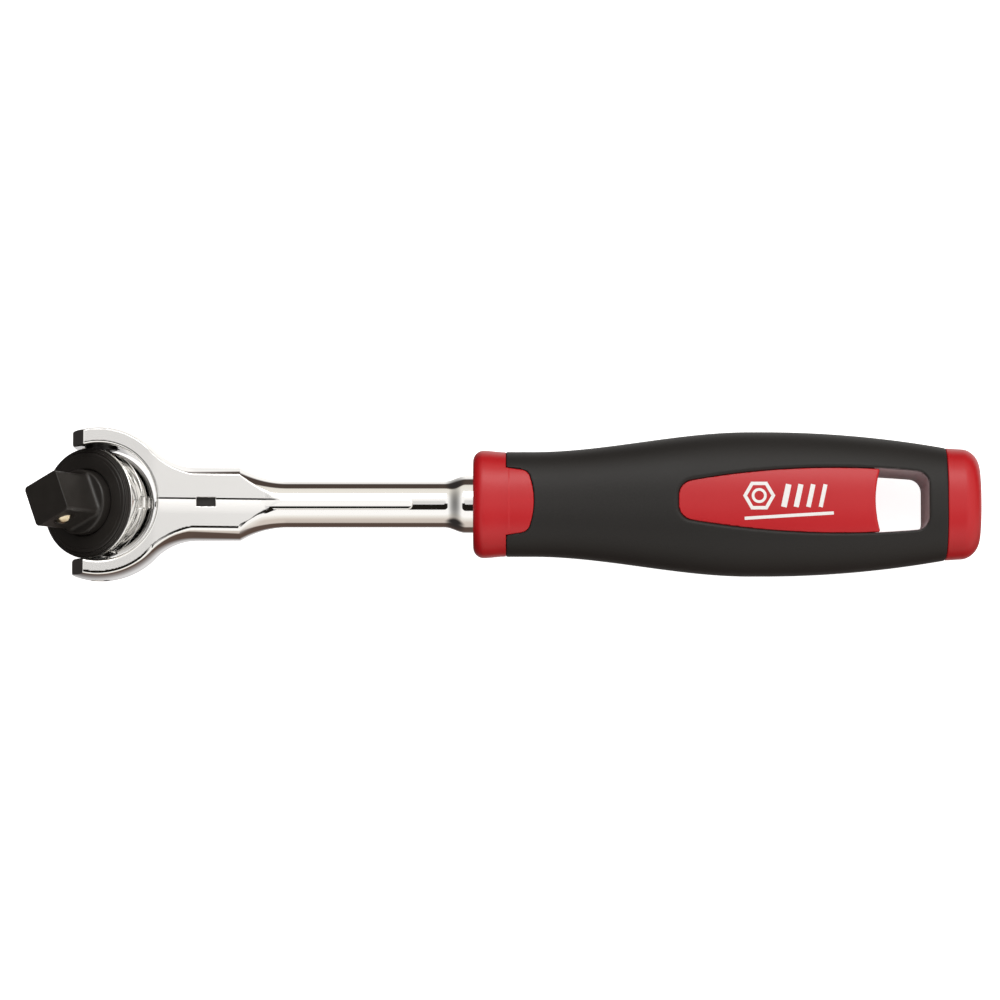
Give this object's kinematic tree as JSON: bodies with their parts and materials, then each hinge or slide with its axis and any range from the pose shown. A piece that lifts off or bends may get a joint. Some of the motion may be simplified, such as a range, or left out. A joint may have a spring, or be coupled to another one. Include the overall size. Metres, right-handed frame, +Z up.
{
  "type": "ratchet wrench",
  "caption": "Ratchet wrench with a swivelling round head on a forked chrome shank, square drive, reverse lever and a two-material handle with a hanging hole.",
  "frame": {"origin": "centre of the object's box, on the surface that the tool lies on", "axes": "+X from the drive end to the handle's end, +Y across the tool along the swivel axis, +Z up"},
  "size_m": [0.2107, 0.034, 0.0317],
  "materials": {
    "chrome": "polished plating",
    "black_oxide": "black phosphate, satin",
    "steel": "ground",
    "spring_steel": "drawn wire",
    "ball_bronze": "polished",
    "red_plastic": "fine moulded texture",
    "grip_rubber": "matte moulded",
    "seal_rubber": "smooth"
  },
  "bodies": {
    "frame": {"yoke_shank": "chrome", "pivot_pins": "steel", "swivel_washers": "steel", "detent_spring": "spring_steel", "detent_key": "black_oxide", "handle_core": "red_plastic", "grip_overmold": "grip_rubber", "end_cap": "red_plastic"},
    "plunger": {"detent_plunger": "steel"},
    "head": {"head_housing": "chrome", "cover_plate": "black_oxide", "retaining_ring": "black_oxide", "boss_seal": "seal_rubber", "thrust_washer": "steel", "pawl_pin": "steel", "lever_ball": "steel", "lever_spring": "spring_steel"},
    "drive": {"drive_anvil": "black_oxide", "drive_ball_spring": "spring_steel"},
    "ball": {"drive_ball": "ball_bronze"},
    "lever": {"reverse_lever": "black_oxide", "lever_oring": "seal_rubber", "pawl_plunger": "steel", "pawl_spring": "spring_steel"},
    "pawl": {"pawl": "steel"}
  },
  "joints": [
    {"name": "head_swivel", "type": "hinge", "parent": "frame", "child": "head", "pos_m": [-0.08987, 0, 0.01253], "axis": [0, -1, 0], "range_deg": [-33.75, 146.25]},
    {"name": "drive_spin", "type": "hinge", "parent": "head", "child": "drive", "pos_m": [-0.09448, 0, 0.01943], "axis": [-0.5556, 0, 0.8315], "continuous": true},
    {"name": "ball_press", "type": "slide", "parent": "drive", "child": "ball", "axis": [-0.3249, 0.9205, -0.2171], "range_m": [0, 0.0008], "stiffness_N_per_m": 1500},
    {"name": "reverse_turn", "type": "hinge", "parent": "head", "child": "lever", "pos_m": [-0.08532, 0, 0.00571], "axis": [-0.5556, 0, 0.8315], "range_deg": [0, 44]},
    {"name": "pawl_rock", "type": "hinge", "parent": "head", "child": "pawl", "pos_m": [-0.08189, 0, 0.01786], "axis": [-0.5556, 0, 0.8315], "range_deg": [-8, 0]},
    {"name": "detent_click", "type": "slide", "parent": "frame", "child": "plunger", "axis": [-1, 0, 0], "range_m": [0, 0.0004]}
  ],
  "couplings": [
    {"joint": "pawl_rock", "follows": "reverse_turn", "ratio": -0.18182}
  ]
}
